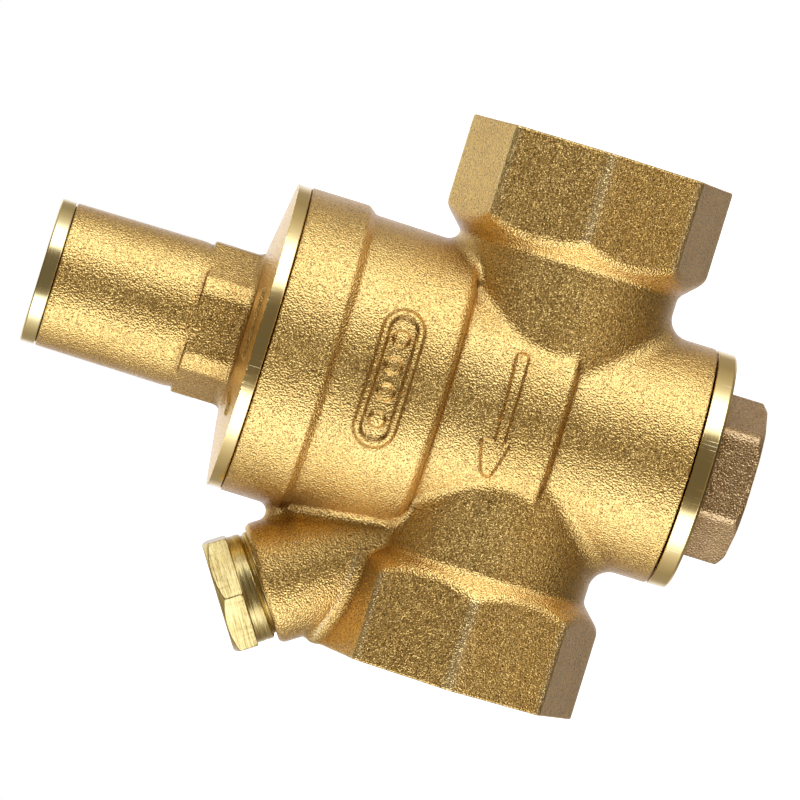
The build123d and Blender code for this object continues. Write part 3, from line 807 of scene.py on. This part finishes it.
def brass(name, straw, olive, pit_and_shade, zones=(), grain_depth=0.00014, grain_scale=4500.0, ridge=None):
    """Shot-blasted brass casting, with bright machined zones given as (axis, near, far, low, high).

    ridge is the distance from the port axis at which the corners of the octagons are worn pale.
    """
    n = new_material(name)
    grain = n.noise(grain_scale, 0.8, 0.45)
    specks = n.noise(grain_scale * 1.1, 1.0, 0.5, n.stretched(1, 1.01, 1.02))
    patch = n.noise(70.0, 3.0, 0.6)
    cloud = n.noise(260.0, 3.0, 0.6)
    tone = n.mix(n.between(patch, 0.35, 0.68), straw, olive)
    tone = n.mix(n.math("MULTIPLY", n.between(cloud, 0.5, 0.75), 0.12, clamp=True), tone, pit_and_shade)
    tone = n.mix(n.math("MULTIPLY", n.between(specks, 0.48, 0.34), 0.9, clamp=True), tone, pit_and_shade)
    # painted shade: ambient occlusion darkens narrow gaps and inner corners toward the dark pit colour,
    # standing in for the shade that falls there
    for reach, light, dark, share in ((CREVICE_SHADE_REACH, 0.95, 0.6, 0.9), (CORNER_SHADE_REACH, 0.85, 0.35, 0.6)):
        occlusion_shade = n.add("ShaderNodeAmbientOcclusion", {"Distance": reach}, samples=3, only_local=True)
        tone = n.mix(n.between(occlusion_shade.outputs["AO"], light, dark, 0.0, share), tone, pit_and_shade)
    if ridge is not None:
        radius, along = n.spread("X")
        on_port = n.between(n.math("ABSOLUTE", along), 21.5, 23.0)  # from the root of the octagon outwards
        worn = n.math("MULTIPLY", zone(n, radius, ridge - 0.15, ridge + 0.3, 0.15), on_port)
        tone = n.mix(n.math("MULTIPLY", worn, 0.35), tone, WORN)
    rough = n.between(cloud, 0.3, 0.7, 0.30, 0.35)
    cast_normal = n.bump(grain, grain_depth, 1.0)
    machined = None
    for axis, near, far, low, high in zones:
        radius, along = n.spread(axis)
        here = n.math("MULTIPLY", zone(n, radius, near, far), zone(n, along, low, high))
        machined = here if machined is None else n.math("MAXIMUM", machined, here)
    lines = n.noise(1.0, 2.0, 0.6, n.stretched(40, 40, 9000))
    scores = n.noise(1.0, 1.0, 0.5, n.stretched(4200, 4200, 140))
    scored = n.between(n.noise(90.0), 0.56, 0.62)
    scores = n.math("MULTIPLY", n.between(scores, 0.64, 0.70), scored, clamp=True)
    bright = n.mix(n.math("MULTIPLY", scores, 0.5), MACHINED, SCORED)
    turned_rough = n.between(lines, 0.3, 0.7, 0.10, 0.17)
    height = n.math("ADD", n.math("MULTIPLY", lines, 0.35), n.math("MULTIPLY", scores, 0.9))
    turned_normal = n.bump(height, 0.000006, 0.9)
    mixed = n.add("ShaderNodeMix", data_type="VECTOR")
    for key, value in ((0, machined), (4, cast_normal), (5, turned_normal)):
        n.tree.links.new(value, mixed.inputs[key])
    normal = mixed.outputs[1]
    film = {"Coat Weight": n.blend(machined, 0.5, 0.05), "Coat Roughness": 0.25, "Coat Normal": normal}
    colour = n.mix(machined, tone, bright)
    return n.finish(colour, 1.0, n.blend(machined, rough, turned_rough), normal, **film)


def turned_metal(name, colour, shade, rough, line_scale=7000.0):
    """Machined metal with fine tool marks around the axis and faint smears."""
    n = new_material(name)
    lines = n.noise(1.0, 2.0, 0.6, n.stretched(60, 60, line_scale))
    smear = n.noise(180.0, 3.0, 0.6)
    tone = n.mix(n.between(smear, 0.35, 0.7), colour, shade)
    roughness = n.between(lines, 0.3, 0.7, rough * 0.8, rough * 1.3)
    roughness = n.math("ADD", roughness, n.between(smear, 0.4, 0.7, 0.0, 0.06))
    return n.finish(tone, 1.0, roughness, n.bump(lines, 0.000005, 0.8))


def brushed_brass(name):
    """Bright turned brass of the gauge plug, with coarse marks across its hexagon and rings on its end."""
    n = new_material(name)
    face = (BOSS_FACE[0] / 1000, 0.0, (PORT_Z + BOSS_FACE[1]) / 1000)
    inputs = {"Vector": n.place, "Center": face, "Angle": BOSS_TILT}
    upright = n.add("ShaderNodeVectorRotate", inputs, rotation_type="Y_AXIS").outputs["Vector"]
    local = n.add("ShaderNodeVectorMath", {0: upright, 1: face}, operation="SUBTRACT").outputs["Vector"]
    split = n.add("ShaderNodeSeparateXYZ", {"Vector": local}).outputs
    squares = n.math("ADD", n.math("POWER", split["X"], 2.0), n.math("POWER", split["Y"], 2.0))
    on_end = n.between(split["Z"], 0.0056, 0.0057)
    slow = n.blend(on_end, 240.0, 30.0)
    rings = n.math("MULTIPLY", on_end, n.math("SQRT", squares))
    depth = n.math("MULTIPLY", n.math("ADD", split["Z"], rings), 3800.0)
    across = [n.math("MULTIPLY", split[axis], slow) for axis in "XY"]
    stretch = n.add("ShaderNodeCombineXYZ", {"X": across[0], "Y": across[1], "Z": depth})
    marks = n.noise(1.0, 3.0, 0.65, stretch.outputs["Vector"])
    smear = n.noise(420.0, 3.0, 0.6)
    tone = n.mix(n.between(smear, 0.35, 0.7), (0.71, 0.54, 0.21), (0.64, 0.47, 0.165))
    tone = n.mix(n.between(marks, 0.55, 0.38, 0.0, 0.7), tone, (0.36, 0.24, 0.07))
    rough = n.between(marks, 0.3, 0.7, 0.20, 0.36)
    return n.finish(tone, 1.0, rough, n.bump(marks, 0.00007, 0.9))


def rubber(name, tone):
    """Moulded rubber with a faint matt bloom."""
    n = new_material(name)
    bloom = n.noise(900.0, 3.0, 0.6)
    speck = n.noise(6000.0, 1.0, 0.5)
    colour = n.mix(n.between(bloom, 0.4, 0.7), tone, tuple(3 * c for c in tone))
    return n.finish(colour, 0.0, n.between(bloom, 0.3, 0.7, 0.45, 0.62), n.bump(speck, 0.00001, 0.5))


def white_plastic(name):
    """Skived PTFE."""
    n = new_material(name)
    skive = n.noise(1.0, 2.0, 0.5, n.stretched(120, 120, 4000))
    colour = n.mix(n.between(skive, 0.3, 0.7), (0.80, 0.79, 0.75), (0.88, 0.87, 0.84))
    return n.finish(colour, 0.0, n.between(skive, 0.3, 0.7, 0.34, 0.46), n.bump(skive, 0.000008, 0.6))


body_brass = brass("body_cast_brass", STRAW, OLIVE, PIT_AND_SHADE, [
    ("X", -1.0, 13.9, 20.9, 36.0),
    ("X", -1.0, 13.9, -36.0, -20.9),
    ("X", -1.0, 16.4, 34.9, 36.0),
    ("X", -1.0, 16.4, -36.0, -34.9),
], ridge=PORT_CORNER_R)
bonnet_brass = brass("bonnet_cast_brass", STRAW, OLIVE, PIT_AND_SHADE, [
    ("Z", 19.72, 21.0, 34.0, 35.87),
    ("Z", 7.0, 9.35, 61.68, 62.0),
    ("Z", -1.0, 17.7, 27.0, 34.3),
])
plug_brass = brass("plug_brass", (0.76, 0.50, 0.22), (0.66, 0.42, 0.17), (0.25, 0.13, 0.04), [
    ("Z", 11.4, 16.0, -24.5, -21.0),
    ("Z", -1.0, 15.6, -21.5, -12.0),
], grain_scale=4300.0)
cap_brass = turned_metal("cap_brass", (0.91, 0.75, 0.36), (0.84, 0.66, 0.29), 0.15)
inner_brass = turned_metal("turned_brass", (0.88, 0.70, 0.36), (0.78, 0.59, 0.27), 0.26)
gauge_brass = brushed_brass("gauge_plug_brass")
stainless = turned_metal("stainless_steel", (0.60, 0.59, 0.57), (0.50, 0.49, 0.48), 0.28)
spring_steel = turned_metal("spring_steel", (0.44, 0.43, 0.42), (0.34, 0.33, 0.32), 0.30, 1500.0)
black_rubber = rubber("black_rubber", (0.012, 0.012, 0.013))
ptfe = white_plastic("white_ptfe")


# ---------------------------------------------------------------- pieces
def place_on_boss():
    """Frame of the gauge port: first axis outwards and up, second along Y, third out of the boss."""
    c, s = math.cos(BOSS_TILT), math.sin(BOSS_TILT)
    return Matrix(((c, 0, -s, BOSS_FACE[0]), (0, 1, 0, 0), (s, 0, c, BOSS_FACE[1]), (0, 0, 0, 1)))


def ring(name, inner, section, height):
    """O-ring about Z."""
    centre = inner + section / 2
    circle = [
        (centre + section / 2 * math.cos(a), height + section / 2 * math.sin(a))
        for a in np.linspace(0, 2 * math.pi, 24, endpoint=False)
    ]
    return turned(name, circle)


def band(name, inner, outer, foot, top, edge=0.08):
    """Flat ring about Z with slightly broken edges."""
    return turned(name, [(inner, foot, edge), (outer, foot, edge), (outer, top, edge), (inner, top, edge)])


def spring_half(name, first, last):
    """Part of the main spring between two shares of its length, its end coils closed and ground flat."""
    turns, sides, rings_per_turn = SPRING_TURNS, 16, 48
    count = int(turns * rings_per_turn * (last - first))
    share = np.linspace(first, last, count)
    dead = 1.1 / turns
    climb = np.interp(share, [0, dead, 1 - dead, 1], [0.35, 2.6, 27.4, 29.65])
    bends = [0, dead * 0.6, dead * 1.4, 1 - dead * 1.4, 1 - dead * 0.6, 1]
    bend = np.interp(share, bends, [0, 0, 1, 1, 0, 0])
    angle = 2 * math.pi * turns * share
    height = SPRING_FOOT + climb
    centre = np.stack([SPRING_COIL_R * np.cos(angle), SPRING_COIL_R * np.sin(angle), height], 1)
    outward = np.stack([np.cos(angle), np.sin(angle), 0 * angle], 1)
    rise = bend * 24.8 / (turns * (1 - 2 * dead)) / (2 * math.pi * SPRING_COIL_R)
    upward = np.stack([np.sin(angle) * rise, -np.cos(angle) * rise, np.ones_like(angle)], 1)
    upward /= np.linalg.norm(upward, axis=1, keepdims=True)
    around = np.linspace(0, 2 * math.pi, sides, endpoint=False)
    points = centre[:, None] + SPRING_WIRE_R * (
        np.cos(around)[None, :, None] * outward[:, None] + np.sin(around)[None, :, None] * upward[:, None]
    )
    points[..., 2] = np.clip(points[..., 2], SPRING_FOOT, SPRING_TOP)
    faces = []
    for i in range(count - 1):
        for k in range(sides):
            n = (k + 1) % sides
            faces.append([i * sides + k, (i + 1) * sides + k, (i + 1) * sides + n, i * sides + n])
    faces.append(list(range(sides)))
    faces.append([(count - 1) * sides + k for k in reversed(range(sides))])
    mesh = bpy.data.meshes.new(name)
    mesh.from_pydata(points.reshape(-1, 3).tolist(), [], faces)
    mesh.validate()
    mesh.polygons.foreach_set("use_smooth", np.ones(len(mesh.polygons), bool))
    mesh.set_sharp_from_angle(angle=math.radians(50))
    obj = bpy.data.objects.new(name, mesh)
    bpy.context.scene.collection.objects.link(obj)
    mesh.transform(TO_ROW)
    return obj


dress(
    solid(
        "valve_body_casting", body_distance,
        low=(-37.0, -20.8, -21.4), high=(35.6, 20.8, 34.5), cell=0.24, faces=190000,
    ),
    "valve_body", body_brass, "cast_brass", "valve_body",
)
dress(
    solid(
        "bonnet_casting", bonnet_distance,
        low=(-20.4, -20.4, 27.6), high=(20.4, 20.4, 62.2), cell=0.22, faces=120000,
    ),
    "valve_body", bonnet_brass, "cast_brass", "bonnet",
)
dress(
    solid(
        "bottom_plug_cover", bottom_plug_distance,
        low=(-15.9, -15.9, -30.0), high=(15.9, 15.9, -12.6), cell=0.18, faces=80000,
    ),
    "valve_body", plug_brass, "plug_brass", "bottom_plug",
)
dress(
    solid(
        "screw_cap", cap_distance,
        low=(-9.6, -9.6, 58.7), high=(9.6, 9.6, 64.2), cell=0.12, faces=40000,
    ),
    "cap", cap_brass, "turned_brass", "cap",
)
dress(
    solid(
        "gauge_port_plug", gauge_plug_distance,
        low=(-8.6, -8.6, -7.9), high=(8.6, 8.6, 6.1), cell=0.11, faces=60000, place=place_on_boss(),
    ),
    "gauge_plug", gauge_brass, "turned_brass", "gauge_plug",
)
dress(
    solid(
        "pressure_screw", screw_distance,
        low=(-8.1, -8.1, 50.2), high=(8.1, 8.1, 56.3), cell=0.14, faces=30000,
    ),
    "adjusting_screw", inner_brass, "turned_brass", "adjusting_screw",
)
dress(
    solid(
        "piston_stem", stem_distance,
        low=(-5.4, -5.4, -25.6), high=(5.4, 5.4, 23.0), cell=0.12, faces=30000,
    ),
    "piston_set", stainless, "stainless", "stem",
)
for name, node, foot in (("piston_lock_nut", "piston_nut", 18.6), ("disc_lock_nut", "disc_nut", -24.4)):
    place = Matrix.Translation((0, 0, foot))
    dress(
        solid(
            name, nut_distance,
            low=(-5.0, -5.0, -0.3), high=(5.0, 5.0, 3.3), cell=0.1, faces=14000, place=place,
        ),
        "piston_set", stainless, "stainless", node,
    )

large_piston = turned("large_piston", [
    (STEM_HOLE_R, 11.4),
    (14.65, 11.4, 0.1),
    (15.45, 12.2, 0.1),
    (15.45, 13.4, 0.1),
    (13.07, 13.4, 0.15),
    (13.07, 16.2, 0.15),
    (15.45, 16.2, 0.1),
    (15.45, 16.8),
    (14.27, 16.8),
    (14.27, 18.4),
    (15.45, 18.4),
    (15.45, 19.4, 0.25),
    (9.5, 19.4, 0.2),
    (7.5, 19.0, 0.2),
    (7.5, 18.0),
    (STEM_HOLE_R, 18.0),
])
dress(large_piston, "piston_set", inner_brass, "turned_brass", "piston")
disc = turned("disc_and_plunger", [
    (STEM_HOLE_R, -20.8),
    (5.6, -20.8, 0.1),
    (6.0, -20.4, 0.1),
    (6.0, -19.45),
    (4.52, -19.45),
    (4.52, -17.75),
    (6.0, -17.75),
    (6.0, -12.3, 0.2),
    (9.5, -12.3, 0.5),
    (9.5, -6.1, 0.15),
    (8.75, -6.1, 0.1),
    (8.75, -7.8),
    (STEM_HOLE_R, -7.8),
])
dress(disc, "piston_set", inner_brass, "turned_brass", "valve_disc")
button = turned("spring_button", [
    (0, 46.0),
    (4.85, 46.0, 0.5),
    (4.85, 48.0),
    (7.5, 48.0, 0.1),
    (7.5, 50.5, 0.5),
    (0, 50.5),
])
dress(button, "spring_seat", inner_brass, "turned_brass", "spring_seat")

seat_seal = band("seat_seal", STEM_HOLE_R, 8.7, -7.8, -5.86, 0.15)
guide_ring = band("piston_guide_ring", 14.27, 15.47, 16.8, 18.4, 0.12)
piston_washer = band("piston_flat_washer", STEM_HOLE_R, 4.6, 18.0, 18.6)
disc_washer = band("disc_flat_washer", STEM_HOLE_R, 4.6, -21.4, -20.8)
cap_washer = band("cap_sealing_washer", 7.8, 8.9, 61.8, 62.02, 0.04)
dress(seat_seal, "piston_set", black_rubber, "black_rubber", "disc_seal")
dress(guide_ring, "piston_set", ptfe, "white_ptfe", "piston_wear_ring")
dress(piston_washer, "piston_set", stainless, "stainless", "piston_washer")
dress(disc_washer, "piston_set", stainless, "stainless", "disc_washer")
dress(cap_washer, "cap_washer", black_rubber, "black_rubber", "cap_washer")
for name, inner, section, height, body, node in (
    ("piston_seal", 13.07, 2.4, 14.8, "piston_set", "piston_o_ring"),
    ("plunger_seal", 4.52, 1.5, -18.6, "piston_set", "plunger_o_ring"),
    ("bonnet_seal", 16.45, 1.6, 33.05, "valve_body", "bonnet_o_ring"),
    ("bottom_plug_seal", 12.45, 1.5, -20.1, "valve_body", "bottom_plug_o_ring"),
):
    dress(ring(name, inner, section, height), body, black_rubber, "black_rubber", node)
for name, first, last, body, end in (
    ("main_spring_lower", 0.0, 0.5, "piston_set", SPRING_FOOT),
    ("main_spring_upper", 0.5, 1.0, "spring_seat", SPRING_TOP),
):
    half = spring_half(name, first, last)
    half.data.materials.append(spring_steel)
    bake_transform(half)
    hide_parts("main_spring")


# ---------------------------------------------------------------- floor, light and camera
STUDIO_WALLS = [  # (share of the half turn away from the camera, brightness)
    (0.00, 0.15),
    (0.14, 0.16),
    (0.20, 0.30),
    (0.25, 2.3),
    (0.40, 2.3),
    (0.46, 1.15),
    (0.50, 0.80),
    (0.57, 0.55),
    (0.68, 0.36),
    (0.80, 0.38),
    (0.90, 1.00),
    (1.00, 1.05),
]
ROOM_TINT = (1.0, 0.87, 0.70)
SOFT_BOX_TINT = (1.0, 1.16, 1.54)
FRONT_TINT = (1.0, 0.78, 0.52)
HIGH_BACK_TINT = (1.0, 0.98, 0.74)
LOW_FRONT_GAIN = 2.2
LOW_BACK_GAIN = 0.4
HIGH_BACK_GAIN = 1.4


def make_floor():
    """Large white floor, seen by the camera from above and by nothing else."""
    n = new_material("floor_white")
    paper = n.noise(3.0, 2.0, 0.5)
    seen = n.add("ShaderNodeBsdfDiffuse", {"Color": n.mix(paper, (0.86, 0.86, 0.86), (0.90, 0.90, 0.90))})
    glow = n.add("ShaderNodeEmission", {"Color": (1, 1, 1, 1), "Strength": 0.86})
    bright = n.add("ShaderNodeAddShader", {0: seen.outputs[0], 1: glow.outputs[0]})
    clear = n.add("ShaderNodeBsdfTransparent")
    camera_ray = n.add("ShaderNodeLightPath").outputs["Is Camera Ray"]
    top = n.add("ShaderNodeMixShader", {0: camera_ray, 1: clear.outputs[0], 2: bright.outputs[0]})
    facing = n.add("ShaderNodeNewGeometry").outputs["Backfacing"]
    shown = n.add("ShaderNodeMixShader", {0: facing, 1: top.outputs[0], 2: clear.outputs[0]})
    n.add("ShaderNodeOutputMaterial", {"Surface": shown.outputs[0]})
    mesh = bpy.data.meshes.new("floor")
    far = 3.0
    mesh.from_pydata([(-far, -far, 0), (far, -far, 0), (far, far, 0), (-far, far, 0)], [], [(0, 1, 2, 3)])
    floor = bpy.data.objects.new("floor", mesh)
    bpy.context.scene.collection.objects.link(floor)
    mesh.materials.append(n.owner)
    floor.location.z = -0.0002


def make_studio():
    """White surroundings for the camera; for the metal, two tall soft boxes left and right of a dim room.

    side is the share of the half turn away from the camera, and rise the share of the way up to the zenith.
    """
    n = Nodes(bpy.data.worlds.new("studio"), "Generated")
    way = n.add("ShaderNodeSeparateXYZ", {"Vector": n.place}).outputs
    side = n.math("ABSOLUTE", n.math("ARCTAN2", way["X"], n.math("MULTIPLY", way["Y"], -1.0)))
    side = n.math("DIVIDE", side, math.pi)
    rise = n.math("DIVIDE", n.math("ARCSINE", way["Z"]), math.pi / 2)
    walls = n.ramp(side, *[(place, (level, level, level)) for place, level in STUDIO_WALLS])
    steep = n.math("ABSOLUTE", rise)
    height = n.between(steep, 0.65, 0.30)
    beyond = n.math("MULTIPLY", n.between(side, 0.2, 0.9, 0.20, 0.50), n.between(rise, -0.3, 0.3, 0.8, 1.0))
    beyond = n.math("MULTIPLY", beyond, n.between(steep, 0.60, 0.80, 1.0, 0.3))
    low_back = n.math("MULTIPLY", n.between(side, 0.6, 0.9), n.between(rise, -0.1, -0.45))
    high_back = n.math("MULTIPLY", n.between(side, 0.6, 0.9), n.between(rise, 0.1, 0.45))
    front = n.between(side, 0.35, 0.10)
    low_front = n.math("MULTIPLY", front, n.between(rise, -0.15, -0.45))
    high_front = n.math("MULTIPLY", front, n.between(rise, 0.15, 0.45))
    level = n.math("MULTIPLY", n.blend(height, beyond, walls), n.blend(low_back, 1.0, LOW_BACK_GAIN))
    level = n.math("MULTIPLY", level, n.blend(low_front, 1.0, LOW_FRONT_GAIN))
    level = n.math("MULTIPLY", level, n.blend(high_back, 1.0, HIGH_BACK_GAIN))
    tint = n.mix(n.between(level, 0.25, 1.6), ROOM_TINT, SOFT_BOX_TINT)
    tint = n.mix(n.math("ADD", low_front, high_front), tint, FRONT_TINT)
    tint = n.mix(high_back, tint, HIGH_BACK_TINT)
    lit = n.add("ShaderNodeBackground", {"Color": tint, "Strength": level})
    seen = n.add("ShaderNodeBackground", {"Color": (1, 1, 1, 1), "Strength": 1.0})
    camera_ray = n.add("ShaderNodeLightPath").outputs["Is Camera Ray"]
    either = n.add("ShaderNodeMixShader", {0: camera_ray, 1: lit.outputs[0], 2: seen.outputs[0]})
    n.add("ShaderNodeOutputWorld", {"Surface": either.outputs[0]})
    bpy.context.scene.world = n.owner


def make_camera(target, azimuth, elevation, distance, seen_width, roll):
    """Long-lens camera. roll turns the picture so that the valve's axis leans to the upper left."""
    data = bpy.data.cameras.new("camera")
    data.sensor_width = 36.0
    data.lens = 36.0 * distance / seen_width
    data.clip_start, data.clip_end = 0.01, 20.0
    camera = bpy.data.objects.new("camera", data)
    a, e = math.radians(azimuth), math.radians(elevation)
    back = Vector((math.sin(a) * math.cos(e), -math.cos(a) * math.cos(e), math.sin(e)))
    right = Vector((math.cos(a), math.sin(a), 0))
    up = back.cross(right)
    turn = math.radians(roll)
    image_right = right * math.cos(turn) - up * math.sin(turn)
    image_up = right * math.sin(turn) + up * math.cos(turn)
    axes = Matrix((image_right, image_up, back)).transposed()
    camera.matrix_world = Matrix.Translation(Vector(target) + back * distance) @ axes.to_4x4()
    bpy.context.scene.collection.objects.link(camera)
    bpy.context.scene.camera = camera


make_floor()
make_studio()
make_camera(
    target=(-0.00247, 0.0, 0.0451), azimuth=1.15, elevation=3.0, distance=0.88, seen_width=0.10145, roll=72.9,
)
bpy.context.scene.view_settings.view_transform = "Standard"
